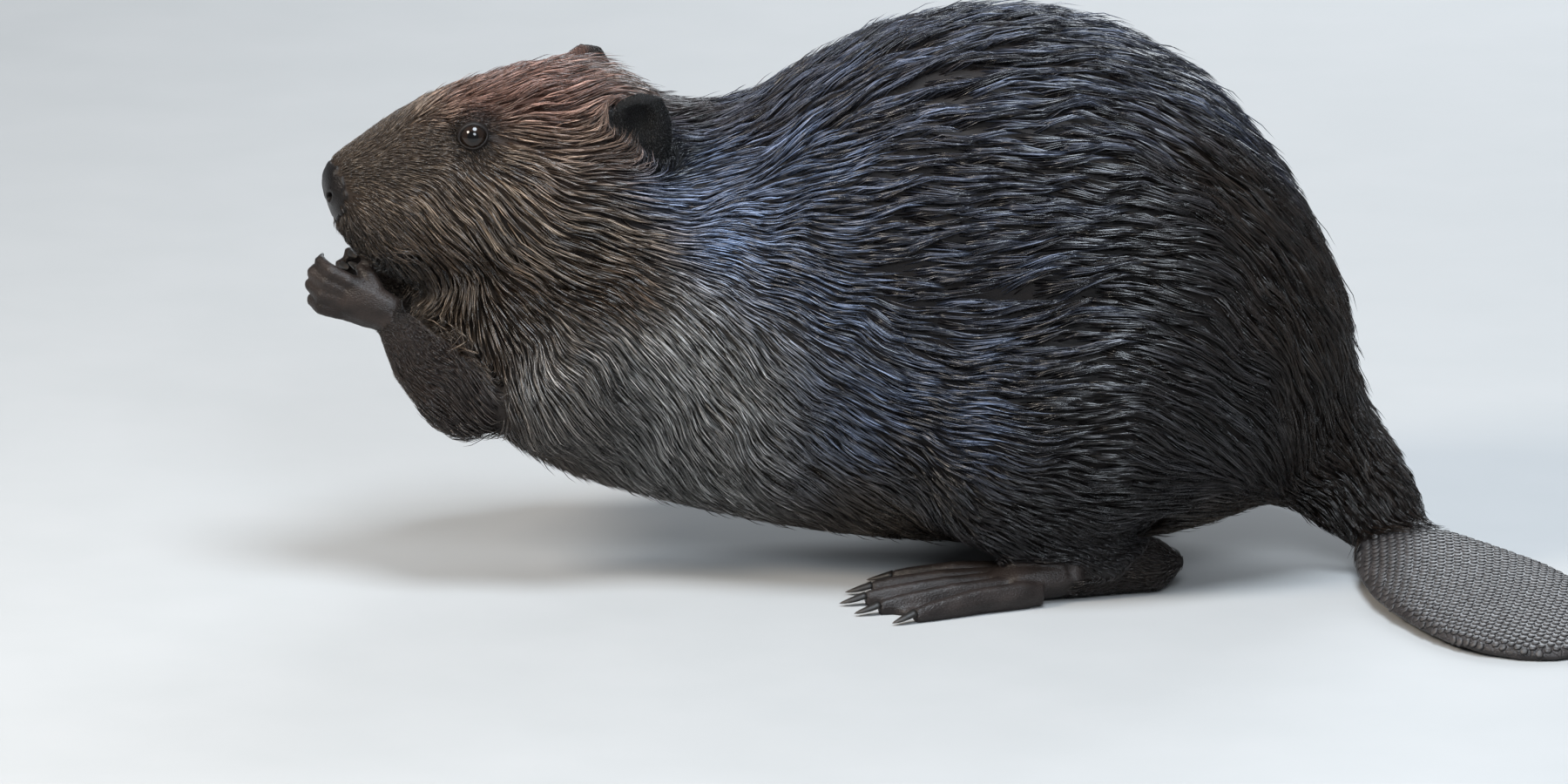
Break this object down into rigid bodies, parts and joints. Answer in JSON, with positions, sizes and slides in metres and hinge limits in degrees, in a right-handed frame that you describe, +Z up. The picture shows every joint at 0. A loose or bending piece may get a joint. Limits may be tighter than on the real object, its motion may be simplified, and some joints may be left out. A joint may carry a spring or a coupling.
{
  "type": "beaver figure",
  "caption": "Still life-size beaver, crouching with an arched back, head turned a little left and both forepaws held to its mouth.",
  "frame": {"origin": "middle of the footprint of the whole animal, on the floor that it rests on", "axes": "+Z up; the body lies along X with the head towards -X; the animal's left side is towards -Y"},
  "size_m": [0.7057, 0.3912, 0.3047],
  "materials": {
    "fur": "wet, clumped fur",
    "bare_skin": "bare, creased skin",
    "tail_skin": "leathery scales",
    "eye": "wet and glossy",
    "claw": "smooth horn"
  },
  "bodies": {
    "root": {"head": "fur", "neck": "fur", "trunk": "fur", "tail_root": "fur", "tail": "tail_skin", "ear_left": "fur", "eye_left": "eye", "upper_arm_left": "fur", "forearm_left": "fur", "thigh_left": "fur", "shin_left": "fur", "forepaw_left": "bare_skin", "hind_foot_left": "bare_skin", "fore_claw_left_1": "claw", "hind_claw_left_1": "claw", "fore_claw_left_2": "claw", "hind_claw_left_2": "claw", "fore_claw_left_3": "claw", "hind_claw_left_3": "claw", "fore_claw_left_4": "claw", "hind_claw_left_4": "claw", "fore_claw_left_5": "claw", "hind_claw_left_5": "claw", "ear_right": "fur", "eye_right": "eye", "upper_arm_right": "fur", "forearm_right": "fur", "thigh_right": "fur", "shin_right": "fur", "forepaw_right": "bare_skin", "hind_foot_right": "bare_skin", "fore_claw_right_1": "claw", "hind_claw_right_1": "claw", "fore_claw_right_2": "claw", "hind_claw_right_2": "claw", "fore_claw_right_3": "claw", "hind_claw_right_3": "claw", "fore_claw_right_4": "claw", "hind_claw_right_4": "claw", "fore_claw_right_5": "claw", "hind_claw_right_5": "claw"}
  },
  "joints": []
}
